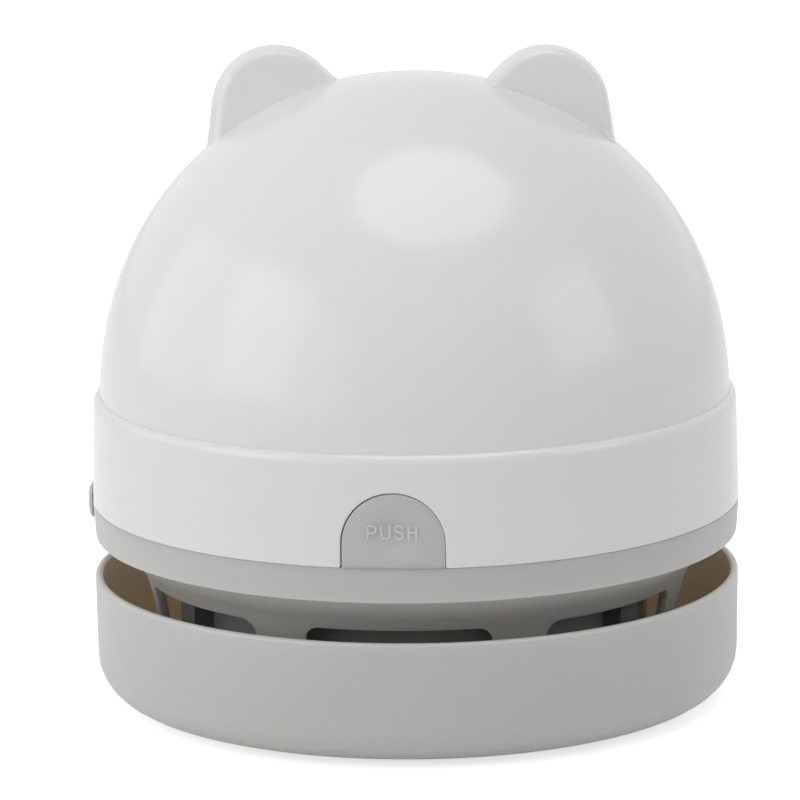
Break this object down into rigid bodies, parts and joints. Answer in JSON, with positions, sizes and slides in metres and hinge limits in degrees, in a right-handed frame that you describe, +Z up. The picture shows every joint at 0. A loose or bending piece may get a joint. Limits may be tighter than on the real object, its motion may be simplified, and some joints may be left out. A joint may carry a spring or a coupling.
{
  "type": "desktop mini vacuum cleaner",
  "caption": "Round desk vacuum cleaner: domed head with rounded ears, straight band and push tab, lifting off a shallow suction bowl with a ribbed neck, dust cup and sliding switch knob.",
  "frame": {"origin": "on the desk plane, on the axis of the round body", "axes": "+Z up along the axis of the dome; the push tab faces -Y; the switch knob is on the -X side"},
  "size_m": [0.0909, 0.0902, 0.0916],
  "materials": {
    "white_shell": "satin white moulded plastic",
    "grey_shell": "satin light warm grey moulded plastic",
    "smoked_cup": "dark smoked clear plastic, polished",
    "black_plastic": "black moulded plastic",
    "dark_plastic": "dark grey moulded plastic",
    "rubber": "matte black rubber",
    "bristle": "black nylon bristles on a black backing",
    "filter_fabric": "fine pale woven mesh",
    "screw_steel": "zinc-plated steel",
    "shaft_steel": "ground steel",
    "motor_steel": "drawn, plated steel can",
    "magnet": "dark ferrite",
    "armature_copper": "lacquered copper winding on iron teeth",
    "bush_brass": "sintered bronze bush",
    "cell_wrap": "blue shrink wrap",
    "contact_steel": "nickel-plated steel",
    "circuit_board": "green lacquered board",
    "lead_red": "red insulation",
    "lead_black": "black insulation",
    "lead_blue": "blue insulation"
  },
  "bodies": {
    "dust_unit": {"suction_bowl": "grey_shell", "vent_neck": "grey_shell", "dust_cup": "smoked_cup", "cup_bumpers": "black_plastic", "cup_seal": "rubber", "brush_strips": "bristle", "glide_feet": "rubber", "neck_screws": "screw_steel"},
    "power_head": {"dome_shell": "white_shell", "mid_band": "white_shell", "lower_ring": "grey_shell", "chassis": "dark_plastic", "intake_plate": "dark_plastic", "motor_can": "motor_steel", "motor_magnets": "magnet", "motor_cap": "black_plastic", "motor_bushes": "bush_brass", "motor_screws": "screw_steel", "cell": "cell_wrap", "cell_tabs": "contact_steel", "cell_strap": "dark_plastic", "strap_screws": "screw_steel", "charge_board": "circuit_board", "board_screws": "screw_steel", "usb_socket": "contact_steel", "switch_body": "contact_steel", "chassis_screws": "screw_steel", "ring_screws": "screw_steel", "plate_screws": "screw_steel", "motor_leads": "lead_red", "cell_leads": "lead_black", "switch_leads": "lead_blue"},
    "rotor": {"impeller": "black_plastic", "motor_shaft": "shaft_steel", "armature": "armature_copper"},
    "push_tab": {"push_tab": "grey_shell"},
    "switch_knob": {"switch_knob": "grey_shell"},
    "filter_unit": {"filter_frame": "black_plastic", "filter_mesh": "filter_fabric"}
  },
  "joints": [
    {"name": "head_lift", "type": "slide", "parent": "dust_unit", "child": "power_head", "axis": [0, 0, 1], "range_m": [0, 0.03]},
    {"name": "fan_spin", "type": "hinge", "parent": "power_head", "child": "rotor", "pos_m": [0, 0, 0.045], "axis": [0, 0, 1], "continuous": true},
    {"name": "tab_press", "type": "hinge", "parent": "power_head", "child": "push_tab", "pos_m": [0, -0.0426, 0.02845], "axis": [-1, 0, 0], "range_deg": [0, 4], "stiffness_Nm_per_rad": 0.4},
    {"name": "knob_slide", "type": "slide", "parent": "power_head", "child": "switch_knob", "axis": [0, -1, 0], "range_m": [0, 0.003]},
    {"name": "filter_pull", "type": "slide", "parent": "power_head", "child": "filter_unit", "axis": [0, 0, -1], "range_m": [0, 0.0085]}
  ]
}
